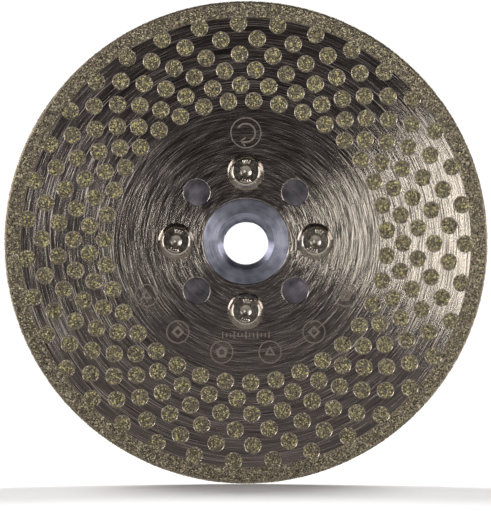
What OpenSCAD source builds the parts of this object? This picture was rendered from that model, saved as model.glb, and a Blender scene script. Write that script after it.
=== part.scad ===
// Electroplated diamond cutting and grinding wheel with a screwed-on M14 flange.
// A steel blank carries a continuous diamond rim and five free rings of round diamond
// pads on each face. The sixth ring of pads grows out of the rim as lobes.
// The wheel stands on edge: its axis lies along Y, its working face looks along -Y
// and +Z is up. The origin is on the axis, halfway through the blank's thickness.
// Every module is drawn lying flat, with local +Z through the working face, and
// upright() then turns it to stand.

/* [Blank] */
// Diameter of the wheel over its diamond rim
wheel_d = 125; // [115:0.5:125]
// Thickness of the steel blank
blank_t = 2; // [1.8:0.1:2.2]
// Diameter of the blank's centre hole
centre_hole_d = 22.23; // [22.21:0.01:22.3]
// Break on the edges of the blank's holes
hole_break = 0.2; // [0.1:0.05:0.3]

/* [Diamond layer] */
// How far the diamond layer stands off each face
grit_t = 0.35; // [0.25:0.05:0.5]
// How far the diamond layer stands off the blank's edge
edge_grit_t = 0.4; // [0.3:0.05:0.6]
// Radial width of the plain part of the rim
rim_w = 4.2; // [3.5:0.1:5]
// Radius that rounds the rim's two outer corners
rim_corner_r = 0.5; // [0.3:0.05:0.6]
// Diameter of one round diamond pad
pad_d = 4.5; // [4:0.1:4.7]
// Slope that rounds the top edge of a pad, across and down
pad_edge = 0.12; // [0.05:0.01:0.2]
// Pads in each ring
pads_per_ring = 35; // [30:1:36]
// Free rings of pads between the rim and the bare middle
free_rings = 5; // [5:1:5]
// Radius of the innermost ring of pads
first_ring_r = 36.6; // [36:0.1:37.5]
// Distance from one ring to the next
ring_pitch = 4.04; // [3.9:0.01:4.1]
// Turn of the first ring's first pad from the +X direction
first_pad_turn = 4.5; // [0:0.1:10]

/* [Flange] */
// Diameter of the flange's plate behind the blank
plate_d = 48; // [46:0.5:50]
// Thickness of the flange's plate
plate_t = 5; // [4.5:0.1:6]
// Diameter of the boss that centres the blank
boss_d = 22.2; // [22.1:0.01:22.2]
// Diameter of the hub behind the plate
hub_d = 27; // [26:0.5:28]
// Length of the hub behind the plate
hub_l = 10; // [9:0.5:12]
// Width across the hub's two spanner flats
flats_w = 22; // [21:0.5:24]
// Length of the spanner flats from the hub's free end
flats_l = 8; // [7:0.5:8.5]
// Thread size of the grinder spindle
thread_d = 14; // [14:1:14]
// Thread pitch of the grinder spindle
thread_pitch = 2; // [2:0.5:2]
// Diameter of the chamfer at each mouth of the threaded hole
mouth_d = 14.8; // [14.4:0.1:15.2]

/* [Screws] */
// Diameter of the circle that the eight holes lie on
screw_circle_d = 36; // [35:0.1:37]
// Diameter of the four plain holes between the screws
plain_hole_d = 6.8; // [6:0.1:7]
// Diameter of the blank's clearance holes for the screws
screw_hole_d = 5.5; // [5.3:0.1:5.8]
// Thread diameter of a screw
screw_d = 5; // [5:1:5]
// Length of a screw under its head
screw_l = 6; // [5:0.5:6]
// Radial room between a screw and the flange's threaded hole
screw_room = 0.05; // [0.02:0.01:0.08]
// Diameter of a screw's button head
head_d = 9.5; // [9:0.1:9.7]
// Height of a screw's button head
head_h = 2.75; // [2.6:0.05:2.9]
// Diameter of the flat on top of a screw's head
head_flat_d = 6.6; // [6:0.1:7]
// Height of the short upright band around a screw's head
head_band_h = 0.4; // [0.3:0.05:0.5]
// Width across the flats of the hexagon socket
socket_w = 3; // [3:0.5:3]
// Depth of the hexagon socket
socket_depth = 1.6; // [1.4:0.1:1.8]

/* [Hidden] */
$fn = 96;

// The sockets stop at a different turn on each tightened screw.
screw_names = ["screw_right", "screw_top", "screw_left", "screw_bottom"];
screw_turns = [4, 21, 9, 16];

front_ring_names = [for (k = [1:free_rings]) str("front_pads_ring_", k)];
back_ring_names = [for (k = [1:free_rings]) str("back_pads_ring_", k)];

blank_r = wheel_d / 2 - edge_grit_t;
face_z = blank_t / 2;
rim_inner_r = wheel_d / 2 - rim_w;
pad_step = 360 / pads_per_ring;
lobe_ring = free_rings + 1;

plate_back_z = -face_z - plate_t;
hub_back_z = plate_back_z - hub_l;
thread_r = thread_d / 2 - 0.5413 * thread_pitch; // minor radius of an ISO metric thread
mouth_cone = 60; // half angle of the mouth chamfer
mouth_depth = (mouth_d / 2 - thread_r) / tan(mouth_cone);
flange_break = 0.6; // chamfer on the flange's turned corners
boss_break = 0.25;

screw_r = screw_d / 2;
screw_circle_r = screw_circle_d / 2;
tip_break = 0.5;
// The domed side of a head is part of a sphere through its band and its flat top.
dome_z = (pow(head_flat_d / 2, 2) + pow(head_h, 2) - pow(head_d / 2, 2) - pow(head_band_h, 2))
    / (2 * (head_h - head_band_h));
dome_r = norm([head_d / 2, head_band_h - dome_z]);

steel = [0.42, 0.40, 0.38];
grit = [0.47, 0.45, 0.31];
zinc = [0.60, 0.62, 0.68];
nickel = [0.75, 0.73, 0.68];
eps = 0.01;

function ring_r(k) = first_ring_r + (k - 1) * ring_pitch;
function ring_turn(k) = first_pad_turn + (k % 2 == 0 ? pad_step / 2 : 0);

// Stands a wheel that was drawn lying flat: local +Z becomes -Y and local +Y becomes +Z.
module upright() {
    rotate([90, 0, 0]) children();
}

// Copies the children at each pad of ring k.
module around_ring(k) {
    for (i = [0:pads_per_ring - 1])
        rotate(ring_turn(k) + i * pad_step) translate([ring_r(k), 0, 0]) children();
}

// A hole through the blank with its front and back edges broken.
module broken_hole(d) {
    cylinder(h = blank_t + 1, d = d, center = true);
    for (side = [-1, 1])
        translate([0, 0, side * face_z]) rotate([side > 0 ? 180 : 0, 0, 0])
            translate([0, 0, -eps]) cylinder(h = hole_break + eps, r1 = d / 2 + hole_break + eps, r2 = d / 2);
}

// One pad, standing on z = 0, with a sloped top edge.
module pad() {
    rotate_extrude()
        polygon([
            [0, 0], [pad_d / 2, 0], [pad_d / 2, grit_t - pad_edge],
            [pad_d / 2 - pad_edge, grit_t], [0, grit_t]
        ]);
}

module steel_blank() {
    color(steel) upright() difference() {
        cylinder(h = blank_t, r = blank_r, center = true);
        broken_hole(centre_hole_d);
        for (i = [0:3]) {
            rotate(90 * i) translate([screw_circle_r, 0, 0]) broken_hole(screw_hole_d);
            rotate(90 * i + 45) translate([screw_circle_r, 0, 0]) broken_hole(plain_hole_d);
        }
    }
}

// The continuous layer that wraps the blank's edge, with a ring of lobes on each face.
module diamond_rim() {
    rim_h = blank_t + 2 * grit_t;
    color(grit) upright() difference() {
        union() {
            rotate_extrude() rim_outline(rim_h);
            for (side = [0, 1]) mirror([0, 0, side]) translate([0, 0, face_z])
                around_ring(lobe_ring) cylinder(h = grit_t, d = pad_d);
        }
        cylinder(h = blank_t, r = blank_r, center = true);
    }
}

// Half section of the rim: a bar with two rounded outer corners.
module rim_outline(h) {
    outer_r = wheel_d / 2;
    translate([rim_inner_r, -h / 2]) square([rim_w - rim_corner_r, h]);
    translate([rim_inner_r, -h / 2 + rim_corner_r]) square([rim_w, h - 2 * rim_corner_r]);
    for (side = [-1, 1])
        translate([outer_r - rim_corner_r, side * (h / 2 - rim_corner_r)]) circle(r = rim_corner_r);
}

module front_pads(k) {
    color(grit) upright() translate([0, 0, face_z]) around_ring(k) pad();
}

module back_pads(k) {
    color(grit) upright() mirror([0, 0, 1]) translate([0, 0, face_z]) around_ring(k) pad();
}

// A turned disc between two heights with both outer corners broken.
module turned(z_low, z_high, d, low_break, high_break) {
    rotate_extrude()
        polygon([
            [0, z_low], [d / 2 - low_break, z_low], [d / 2, z_low + low_break],
            [d / 2, z_high - high_break], [d / 2 - high_break, z_high], [0, z_high]
        ]);
}

module mounting_flange() {
    color(zinc) upright() difference() {
        union() {
            turned(-face_z - eps, face_z, boss_d, 0, boss_break);
            turned(plate_back_z, -face_z, plate_d, flange_break, 0);
            spanner_hub();
        }
        translate([0, 0, hub_back_z - 1]) cylinder(h = -hub_back_z + face_z + 2, r = thread_r);
        mouth(face_z, 180);
        mouth(hub_back_z, 0);
        for (i = [0:3]) rotate(90 * i) translate([screw_circle_r, 0, 0]) threaded_hole();
    }
}

// The round hub with two flats for a spanner at its free end.
module spanner_hub() {
    difference() {
        turned(hub_back_z, plate_back_z + eps, hub_d, flange_break, 0);
        for (side = [-1, 1])
            translate([side * (flats_w / 2 + hub_d / 2), 0, hub_back_z + flats_l / 2 - eps])
                cube([hub_d, 2 * hub_d, flats_l + 2 * eps], center = true);
    }
}

// The chamfer at one end of the spindle thread.
module mouth(z, turn) {
    translate([0, 0, z]) rotate([turn, 0, 0]) translate([0, 0, -eps])
        cylinder(h = mouth_depth + eps, r1 = mouth_d / 2 + eps * tan(mouth_cone), r2 = thread_r);
}

// One of the plate's holes for a screw, through the plate.
module threaded_hole() {
    translate([0, 0, plate_back_z - 1]) cylinder(h = plate_t + 2, r = screw_r + screw_room);
}

// A button head screw on its own axis, with its head standing on z = 0.
module button_head_screw(turn) {
    rotate(turn) difference() {
        union() {
            intersection() {
                cylinder(h = head_h, d = head_d);
                translate([0, 0, dome_z]) sphere(r = dome_r);
            }
            turned(-screw_l, eps, screw_d, tip_break, 0);
        }
        translate([0, 0, head_h - socket_depth])
            cylinder(h = socket_depth + 1, r = socket_w / 2 / cos(30), $fn = 6);
        translate([0, 0, head_h - socket_depth - socket_w / 4])
            cylinder(h = socket_w / 4 + eps, r1 = 0.05, r2 = socket_w / 2);
    }
}

module flange_screw(i) {
    color(nickel) upright() rotate(90 * i) translate([screw_circle_r, 0, face_z])
        button_head_screw(screw_turns[i]);
}

steel_blank();
diamond_rim();
for (k = [1:free_rings]) {
    front_pads(k);
    back_pads(k);
}
mounting_flange();
for (i = [0:3])
    flange_screw(i);
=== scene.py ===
"""Looks of a 125 mm electroplated diamond wheel with its screwed-on M14 flange.

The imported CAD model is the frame. Shapes are worked out in the wheel's drawing frame, in
millimetres: the wheel lies flat with +Y up the page and +Z through its working face, and
`stand` turns the finished points into the row frame in metres.
"""

import logging
import math
from dataclasses import dataclass, field
from enum import Enum

import bpy
import bmesh
import numpy as np
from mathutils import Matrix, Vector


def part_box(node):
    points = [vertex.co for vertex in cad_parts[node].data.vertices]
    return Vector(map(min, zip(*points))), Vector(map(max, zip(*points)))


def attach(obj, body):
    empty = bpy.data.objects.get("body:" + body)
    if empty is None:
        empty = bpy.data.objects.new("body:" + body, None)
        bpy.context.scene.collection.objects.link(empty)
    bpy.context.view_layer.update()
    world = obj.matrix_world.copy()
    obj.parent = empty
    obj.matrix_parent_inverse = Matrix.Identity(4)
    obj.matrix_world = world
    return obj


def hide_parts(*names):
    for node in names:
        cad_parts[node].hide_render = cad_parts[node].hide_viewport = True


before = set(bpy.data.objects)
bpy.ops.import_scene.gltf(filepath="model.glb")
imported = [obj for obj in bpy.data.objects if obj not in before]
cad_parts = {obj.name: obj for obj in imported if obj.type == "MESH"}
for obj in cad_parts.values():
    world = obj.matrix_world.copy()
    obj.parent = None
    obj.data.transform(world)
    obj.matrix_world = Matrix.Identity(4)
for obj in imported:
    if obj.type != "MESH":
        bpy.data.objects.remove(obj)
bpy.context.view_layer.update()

LOG = logging.getLogger("diamond_wheel")
MM = 0.001
ROOT = "wheel"
EDGE_LOOP = 0.04  # mm from a rounded corner to the loop that keeps the flat face beside it flat
WELD = 2e-6  # metres within which points of neighbouring grids are one

Tree = bpy.types.NodeTree
Socket = bpy.types.NodeSocket
Material = bpy.types.Material
Piece = bpy.types.Object
Row = tuple[np.ndarray, np.ndarray]


# ---------------------------------------------------------------- measures from the frame


def flat_box(node: str) -> tuple[np.ndarray, np.ndarray]:
    """The box of a CAD node in the drawing frame.

    Args:
        node: Name of the CAD node.

    Returns:
        Its lowest and highest corner, in millimetres.
    """
    low, high = (np.array(corner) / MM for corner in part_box(node))
    return np.array([low[0], low[2], -high[1]]), np.array([high[0], high[2], -low[1]])


def flat_radius(node: str) -> float:
    """Half the width of a CAD node's box in the drawing frame, in millimetres."""
    low, high = flat_box(node)
    return float(high[0] - low[0]) / 2


def stand(points: np.ndarray) -> np.ndarray:
    """Turns drawing frame millimetres (x, y, z) into row frame metres (x, -z, y)."""
    return np.stack([points[..., 0], -points[..., 2], points[..., 1]], axis=-1) * MM


@dataclass(frozen=True)
class WheelSizes:
    """Driving sizes of the wheel, in millimetres and degrees, taken from the frame where it has them."""

    outer_r: float = flat_radius("diamond_rim")
    blank_r: float = flat_radius("steel_blank")
    face_z: float = float(flat_box("steel_blank")[1][2])
    rim_face_z: float = float(flat_box("diamond_rim")[1][2])
    circle_r: float = float(sum(flat_box("screw_right")[i][0] for i in (0, 1)) / 2)
    centre_hole_r: float = 11.115
    rim_w: float = 4.2
    pad_r: float = 2.25
    pads_per_ring: int = 35
    free_rings: int = 5
    first_ring_r: float = 36.6
    ring_pitch: float = 4.04
    first_pad_turn: float = 4.5

    @property
    def rim_inner_r(self) -> float:
        """Inner radius of the plain part of the rim."""
        return self.outer_r - self.rim_w

    @property
    def pad_step(self) -> float:
        """Angle from one pad of a ring to the next, in radians."""
        return math.tau / self.pads_per_ring

    def ring_r(self, ring: int) -> float:
        """Radius of a ring of pads, counted from the innermost; free_rings + 1 is the ring of lobes."""
        return self.first_ring_r + (ring - 1) * self.ring_pitch

    def ring_start(self, ring: int) -> float:
        """Angle of a ring's first pad, in radians: every second ring starts half a step on."""
        return math.radians(self.first_pad_turn) + (self.pad_step / 2 if ring % 2 == 0 else 0)

    def pad_centres(self, ring: int) -> np.ndarray:
        """Centres of one ring's pads: equal steps round a circle.

        Args:
            ring: 1 for the innermost ring; free_rings + 1 is the ring of lobes.

        Returns:
            Points by 2.
        """
        angle = self.ring_start(ring) + self.pad_step * np.arange(self.pads_per_ring)
        return self.ring_r(ring) * np.stack([np.cos(angle), np.sin(angle)], axis=-1)

    def pad_distance(self, flat: np.ndarray, ring: int) -> np.ndarray:
        """How far points lie from the nearest pad centre of a ring.

        The angle is rounded to the nearest pad's angle, which gives that pad's centre.

        Args:
            flat: Points by 2.
            ring: 1 for the innermost ring; free_rings + 1 is the ring of lobes.

        Returns:
            One distance per point.
        """
        start, step, radius = self.ring_start(ring), self.pad_step, self.ring_r(ring)
        nearest = start + step * np.round((np.arctan2(flat[:, 1], flat[:, 0]) - start) / step)
        return np.hypot(flat[:, 0] - radius * np.cos(nearest), flat[:, 1] - radius * np.sin(nearest))


# ---------------------------------------------------------------- mesh code


def revolve(radius: np.ndarray, height: np.ndarray, columns: int, turn: float = 0.0) -> np.ndarray:
    """A turned surface: row i at angle a is (r cos a, r sin a, z).

    Args:
        radius: One radius per row, or rows by columns where the radius changes on the way round.
        height: One height per row, or rows by columns.
        columns: Number of steps round the axis.
        turn: Angle of the first column, in radians.

    Returns:
        A grid of points, rows by columns by 3.
    """
    angle = turn + math.tau * np.arange(columns) / columns
    r = np.broadcast_to(np.asarray(radius, float).reshape(len(radius), -1), (len(radius), columns))
    z = np.broadcast_to(np.asarray(height, float).reshape(len(height), -1), (len(height), columns))
    return np.stack([r * np.cos(angle), r * np.sin(angle), z], axis=-1)


def quads(rows: int, columns: int, ring: bool = False, closed: bool = True) -> np.ndarray:
    """The faces of a grid whose points are numbered row by row.

    Args:
        rows: Number of rows.
        columns: Number of columns.
        ring: True where the last row joins the first, as round a torus.
        closed: True where the last column joins the first.

    Returns:
        Faces by 4.
    """
    last_row, last_column = rows - (not ring), columns - (not closed)
    i, j = np.meshgrid(np.arange(last_row), np.arange(last_column), indexing="ij")
    below, right = (i + 1) % rows, (j + 1) % columns
    corners = (i * columns + j, i * columns + right, below * columns + right, below * columns + j)
    return np.stack(corners, axis=-1).reshape(-1, 4)


def thread_wave(height: np.ndarray, angle: np.ndarray, pitch: float) -> np.ndarray:
    """A thread's groove, as a triangle wave of the height over the pitch less the angle over a turn.

    Args:
        height: Heights that broadcast against the angles, in millimetres.
        angle: Angles round the axis, in radians.
        pitch: The thread's pitch, in millimetres.

    Returns:
        0 at a crest of the wall, rising evenly to 1 at the groove's bottom.
    """
    phase = (height / pitch - angle / math.tau) % 1.0
    return 1 - np.abs(2 * phase - 1)


@dataclass
class Shell:
    """A mesh in the making: grids and loose facets, each with the number of its finish."""

    points: list[np.ndarray] = field(default_factory=list)
    faces: list[np.ndarray] = field(default_factory=list)
    finishes: list[int] = field(default_factory=list)
    traits: list[np.ndarray] = field(default_factory=list)

    def add(
        self, points: np.ndarray, faces: np.ndarray, finish: int = 0, traits: np.ndarray | None = None
    ) -> None:
        """Adds points and the faces that join them.

        Args:
            points: Points by 3.
            faces: Faces by 3 or 4, counted from this set's first point.
            finish: Which of the piece's finishes these faces take.
            traits: A tone and a cover from 0 to 1 for each point, which a finish may read.
        """
        self.faces.append(faces + sum(len(p) for p in self.points))
        self.points.append(points)
        self.finishes.append(finish)
        self.traits.append(np.full((len(points), 2), 0.5) if traits is None else traits)

    def add_grid(self, grid: np.ndarray, finish: int = 0, ring: bool = False) -> None:
        """Adds a grid that closes on itself from its last column to its first.

        Args:
            grid: Rows by columns by 3.
            finish: Which of the piece's finishes it takes.
            ring: True where the last row also joins the first, as round a torus.
        """
        self.add(grid.reshape(-1, 3), quads(*grid.shape[:2], ring=ring), finish)

    def mesh(self, name: str) -> bpy.types.Mesh:
        """Puts the whole arrays into a mesh in the row frame.

        Args:
            name: The mesh's name.

        Returns:
            The mesh, with its tone and cover attributes and its faces' finishes.
        """
        made = bpy.data.meshes.new(name)
        points = stand(np.concatenate(self.points)).astype(np.float32)
        corners = np.concatenate([f.ravel() for f in self.faces]).astype(np.int32)
        sides = np.concatenate([np.full(len(f), f.shape[1]) for f in self.faces])
        starts = np.concatenate([[0], np.cumsum(sides)[:-1]]).astype(np.int32)
        finish = np.concatenate([np.full(len(f), n) for f, n in zip(self.faces, self.finishes)])
        made.vertices.add(len(points))
        made.vertices.foreach_set("co", points.ravel())
        made.loops.add(len(corners))
        made.loops.foreach_set("vertex_index", corners)
        made.polygons.add(len(starts))
        made.polygons.foreach_set("loop_start", starts)
        made.polygons.foreach_set("material_index", finish.astype(np.int32))
        traits = np.concatenate(self.traits).astype(np.float32)
        for column, trait in enumerate(("tone", "cover")):
            held = made.attributes.new(trait, "FLOAT", "POINT")
            held.data.foreach_set("value", np.ascontiguousarray(traits[:, column]))
        made.update(calc_edges=True)
        return made

    def build(
        self,
        name: str,
        finishes: list[Material],
        slot: str,
        body: str = ROOT,
        replaces: tuple[str, ...] = (),
        weld: bool = True,
        crease: float = 30.0,
    ) -> Piece:
        """Makes the finished piece and puts it on its body.

        Args:
            name: The piece's name.
            finishes: Its materials, in the order that the faces number them.
            slot: Name of a material slot; it is not used.
            body: The CAD body that it rides on.
            replaces: CAD nodes that it stands for.
            weld: True to join the edges of neighbouring grids and turn the faces outwards.
            crease: Edges sharper than this many degrees stay sharp; 0 leaves every face flat.

        Returns:
            The new object.
        """
        made = self.mesh(name)
        if weld:
            weld_and_face_out(made)
        if crease:
            made.polygons.foreach_set("use_smooth", np.ones(len(made.polygons), bool))
            made.set_sharp_from_angle(angle=math.radians(crease))
        for finish in finishes:
            made.materials.append(finish)
        piece = bpy.data.objects.new(name, made)
        bpy.context.scene.collection.objects.link(piece)
        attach(piece, body)
        if replaces:
            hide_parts(*replaces)
        LOG.info("%s: %d faces on %s", name, len(made.polygons), body)
        return piece


def weld_and_face_out(mesh: bpy.types.Mesh) -> None:
    """Joins points that lie on each other, drops faces without area and turns the rest outwards.

    Args:
        mesh: The mesh to change.
    """
    work = bmesh.new()
    work.from_mesh(mesh)
    bmesh.ops.remove_doubles(work, verts=work.verts, dist=WELD)
    bmesh.ops.dissolve_degenerate(work, edges=work.edges, dist=WELD / 20)
    bmesh.ops.recalc_face_normals(work, faces=work.faces)
    work.to_mesh(mesh)
    work.free()


def rounded(hole_r: float, bend: float, steps: int = 3) -> tuple[np.ndarray, np.ndarray]:
    """The rounded corner between a face and a hole's wall, a quarter circle without its two ends.

    Args:
        hole_r: Radius of the hole.
        bend: Radius of the corner. A negative value rounds the outside corner of a boss.
        steps: Points between the two ends.

    Returns:
        Radii, and depths below the face.
    """
    turn = np.linspace(0.0, math.pi / 2, steps + 2)[1:-1]
    return hole_r + bend * (1 - np.sin(turn)), abs(bend) * (1 - np.cos(turn))


@dataclass(frozen=True)
class DrilledZone:
    """The ring of a plate that its holes lie in, cut into one sector for each hole.

    A sector's grid runs from its border, over the back face, through the hole and back over
    the front face to the border. Each column lies on the ray from the hole's centre to a
    point of the border, so holes stay round and neighbouring sectors share their points.
    """

    circle_r: float
    inner_r: float
    outer_r: float
    back_z: float
    front_z: float
    sectors: int
    steps: int = 12

    @property
    def columns(self) -> int:
        """Steps round the whole plate that match the sectors' borders."""
        return self.sectors * self.steps

    @property
    def turn(self) -> float:
        """Angle of the first sector's first border, in radians."""
        return -math.pi / self.sectors

    def border(self) -> np.ndarray:
        """The outline of the sector that lies along +X: outer arc, side, inner arc, side.

        Returns:
            Points by 2.
        """
        half = math.pi / self.sectors
        sweep = np.linspace(-half, half, self.steps + 1)
        side = np.linspace(self.outer_r, self.inner_r, self.steps + 1)[1:-1]
        outer, inner = np.full_like(sweep, self.outer_r), np.full_like(sweep, self.inner_r)
        radius = np.concatenate([outer, side, inner, side[::-1]])
        angle = np.concatenate([sweep, np.full_like(side, half), sweep[::-1], np.full_like(side, -half)])
        return radius[:, None] * np.stack([np.cos(angle), np.sin(angle)], axis=-1)

    def sector(
        self, number: int, hole_r: float, edge_break: float, groove: float = 0.0, pitch: float = 0.8
    ) -> np.ndarray:
        """One sector's grid.

        A point lies on its column's ray from the hole's centre, at the row's radius, and the
        rows of a flat face are drawn out from there towards the border by a share from 0 to 1.

        Args:
            number: Which sector, counted from the one along +X.
            hole_r: Radius of its hole.
            edge_break: Rounding at both ends of the hole.
            groove: Depth of thread grooves in the hole's wall, or 0 for a plain hole.
            pitch: Pitch of those grooves.

        Returns:
            A grid of points, rows by columns by 3.
        """
        border = self.border()
        centre = np.array([self.circle_r, 0.0])
        ray = border - centre
        ray /= np.linalg.norm(ray, axis=1, keepdims=True)
        wall = np.linspace(self.back_z + edge_break, self.front_z - edge_break, 40 if groove else 2)
        wave = thread_wave(wall[:, None], np.arctan2(ray[:, 1], ray[:, 0]), pitch)
        share = np.array([1.0, 0.5, 0.0, 0.0])
        loop = np.array([[0.0], [0.0], [EDGE_LOOP], [0.0]])
        face_r = np.repeat(hole_r + edge_break + loop, len(ray), axis=1)
        bend_r, bend_z = rounded(hole_r, edge_break)
        bend = np.repeat(bend_r[:, None], len(ray), axis=1)
        radius = np.concatenate([face_r, bend, hole_r + groove * wave, bend[::-1], face_r[::-1]])
        none = np.zeros(len(wall) + 2 * len(bend))
        spread = np.concatenate([share, none, share[::-1]])[:, None, None]
        back, front = np.full(len(share), self.back_z), np.full(len(share), self.front_z)
        height = np.concatenate([back, self.back_z + bend_z, wall, self.front_z - bend_z[::-1], front])
        circle = centre + ray * radius[..., None]
        flat = circle + spread * (border - circle)
        turn = math.tau * number / self.sectors
        c, s = math.cos(turn), math.sin(turn)
        x, y = flat[..., 0], flat[..., 1]
        z = np.broadcast_to(height[:, None], x.shape)
        return np.stack([c * x - s * y, s * x + c * y, z], axis=-1)


# ---------------------------------------------------------------- finishes


def linear(hex_colour: str) -> tuple[float, float, float, float]:
    """Turns an sRGB colour to linear light.

    Args:
        hex_colour: Six digits, such as "8f8a86".

    Returns:
        Linear red, green and blue, and an alpha of 1.
    """
    parts = [int(hex_colour[i : i + 2], 16) / 255 for i in (0, 2, 4)]
    rgb = [p / 12.92 if p <= 0.04045 else ((p + 0.055) / 1.055) ** 2.4 for p in parts]
    return (*rgb, 1.0)


def put(
    tree: Tree,
    kind: str,
    inputs: dict | None = None,
    stops: tuple[tuple[float, str], ...] = (),
    **settings: object,
) -> bpy.types.Node:
    """Adds a node with its settings and links.

    Args:
        tree: The node tree.
        kind: The node's type name.
        inputs: Socket name or number to a value, or to an output socket to link.
        stops: Places from 0 to 1 with their sRGB hex values, for a colour ramp.
        settings: The node's own properties.

    Returns:
        The new node.
    """
    made = tree.nodes.new(kind)
    for name, value in settings.items():
        setattr(made, name, value)
    for key, value in (inputs or {}).items():
        if isinstance(value, Socket):
            tree.links.new(value, made.inputs[key])
        else:
            made.inputs[key].default_value = value
    for _ in stops[2:]:
        made.color_ramp.elements.new(0.5)
    for number, (place, colour) in enumerate(stops):
        made.color_ramp.elements[number].position = place
        made.color_ramp.elements[number].color = linear(colour)
    return made


@dataclass(frozen=True)
class Polar:
    """Sockets that place a point round an axis along Y.

    Attributes:
        radius: Distance from the axis, in millimetres.
        across: The X part of the unit vector outwards.
        up: The Z part of the unit vector outwards.
        outwards: The unit vector itself.
    """

    radius: Socket
    across: Socket
    up: Socket
    outwards: Socket

    @classmethod
    def on(cls, tree: Tree, centre: tuple[float, float] = (0.0, 0.0)) -> "Polar":
        """Works them out from Object coordinates, which are the row frame.

        Args:
            tree: The node tree.
            centre: The (x, z) of the axis, in millimetres.

        Returns:
            The sockets.
        """
        place = put(tree, "ShaderNodeTexCoord").outputs["Object"]
        scale = {0: place, 1: (1 / MM, 0.0, 1 / MM)}
        scaled = put(tree, "ShaderNodeVectorMath", scale, operation="MULTIPLY").outputs[0]
        shift = {0: scaled, 1: (centre[0], 0.0, centre[1])}
        moved = put(tree, "ShaderNodeVectorMath", shift, operation="SUBTRACT").outputs[0]
        length = put(tree, "ShaderNodeVectorMath", {0: moved}, operation="LENGTH").outputs["Value"]
        unit = put(tree, "ShaderNodeVectorMath", {0: moved}, operation="NORMALIZE").outputs[0]
        parts = put(tree, "ShaderNodeSeparateXYZ", {0: unit}).outputs
        return cls(length, parts["X"], parts["Z"], unit)

    def streaks(
        self, tree: Tree, length: float, width: float, seed: float, detail: float = 2.0
    ) -> Socket:
        """Noise drawn out along circles round the axis, with no seam.

        The noise is read at (cos a, sin a) times a small number and at the radius times a
        large one, so it changes slowly round the wheel and quickly along a radius.

        Args:
            tree: The node tree.
            length: How much of a radian one streak runs.
            width: Radial width of a streak, in millimetres.
            seed: Shift of the pattern.
            detail: Octaves of finer noise.

        Returns:
            A value from 0 to 1.
        """
        x = put(tree, "ShaderNodeMath", {0: self.across, 1: 1 / length}, operation="MULTIPLY").outputs[0]
        y = put(tree, "ShaderNodeMath", {0: self.up, 1: 1 / length}, operation="MULTIPLY").outputs[0]
        radial = {0: self.radius, 1: 1 / width, 2: seed}
        z = put(tree, "ShaderNodeMath", radial, operation="MULTIPLY_ADD").outputs[0]
        where = put(tree, "ShaderNodeCombineXYZ", {0: x, 1: y, 2: z}).outputs[0]
        texture = {"Vector": where, "Scale": 1.0, "Detail": detail, "Roughness": 0.6}
        return put(tree, "ShaderNodeTexNoise", texture).outputs["Fac"]


@dataclass(frozen=True)
class Finish:
    """What every finish has: a name and the Principled inputs that are the same all over."""

    name: str
    roughness: float
    metallic: float = 1.0
    anisotropic: float = 0.0
    ior: float = 1.5

    def surface(self, tree: Tree) -> dict[str, Socket]:
        """What drives the shader's other inputs, by input name."""
        raise NotImplementedError

    def material(self) -> Material:
        """Builds the material: the constant inputs, then the links that surface() names.

        Returns:
            The new material.
        """
        material = bpy.data.materials.new(self.name)
        material.use_nodes = True
        tree = material.node_tree
        inputs = tree.nodes["Principled BSDF"].inputs
        inputs["Roughness"].default_value = self.roughness
        inputs["Metallic"].default_value = self.metallic
        inputs["Anisotropic"].default_value = self.anisotropic
        inputs["IOR"].default_value = self.ior
        for name, socket in self.surface(tree).items():
            tree.links.new(socket, inputs[name])
        return material


@dataclass(frozen=True)
class TurnedSteel(Finish):
    """Tool steel plate, ground on a turning table: circular grooves spread its highlights into fans.

    Attributes:
        rough_streak: Roughness of the dullest streaks, which catch lamps far off the mirror's direction.
        groove_mm: Radial width of the grooves, drawn wide enough to show.
        scratch_mm: Radial width of the coarser scratches among them, drawn wide enough to show.
        scratch_weight: Strength of the coarser scratches against the grooves.
        cross_weight: Strength of the crossing arcs against the grooves.
        relief_mm: Depth that the bump gives them.
        cross_centre: Centre of the crossing arcs, in millimetres.
    """

    name: str = "ground_tool_steel"
    roughness: float = 0.13
    rough_streak: float = 0.3
    anisotropic: float = 0.87
    groove_mm: float = 0.11
    scratch_mm: float = 0.2
    scratch_weight: float = 1.1
    cross_weight: float = 0.6
    relief_mm: float = 0.007
    cross_centre: tuple[float, float] = (7.0, 5.0)
    dark: str = "655f60"
    light: str = "e6ded6"

    def surface(self, tree: Tree) -> dict[str, Socket]:
        """The weighted mean of three sets of streaks drives colour, roughness and relief.

        Args:
            tree: The node tree.

        Returns:
            Sockets by the shader's input name.
        """
        polar = Polar.on(tree)
        mean = polar.streaks(tree, 0.2, self.groove_mm, 3.1, 1.0)
        coarse = polar.streaks(tree, 0.3, self.scratch_mm, 17.7, 1.0)
        cross = Polar.on(tree, self.cross_centre).streaks(tree, 0.25, self.scratch_mm, 29.3, 1.0)
        for streaks, weight in ((coarse, self.scratch_weight), (cross, self.cross_weight)):
            added = {0: streaks, 1: weight, 2: mean}
            mean = put(tree, "ShaderNodeMath", added, operation="MULTIPLY_ADD").outputs[0]
        share = {0: mean, 1: 1 / (1 + self.scratch_weight + self.cross_weight)}
        mean = put(tree, "ShaderNodeMath", share, operation="MULTIPLY").outputs[0]
        stops = ((0.37, self.dark), (0.63, self.light))
        band = {"Value": mean, "From Min": 0.47, "From Max": 0.64}
        band |= {"To Min": self.roughness, "To Max": self.rough_streak}
        relief = {"Height": mean, "Strength": 1.0, "Distance": self.relief_mm * MM}
        return {
            "Base Color": put(tree, "ShaderNodeValToRGB", {"Fac": mean}, stops).outputs["Color"],
            "Roughness": put(tree, "ShaderNodeMapRange", band).outputs[0],
            "Tangent": polar.outwards,
            "Normal": put(tree, "ShaderNodeBump", relief).outputs[0],
        }


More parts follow.
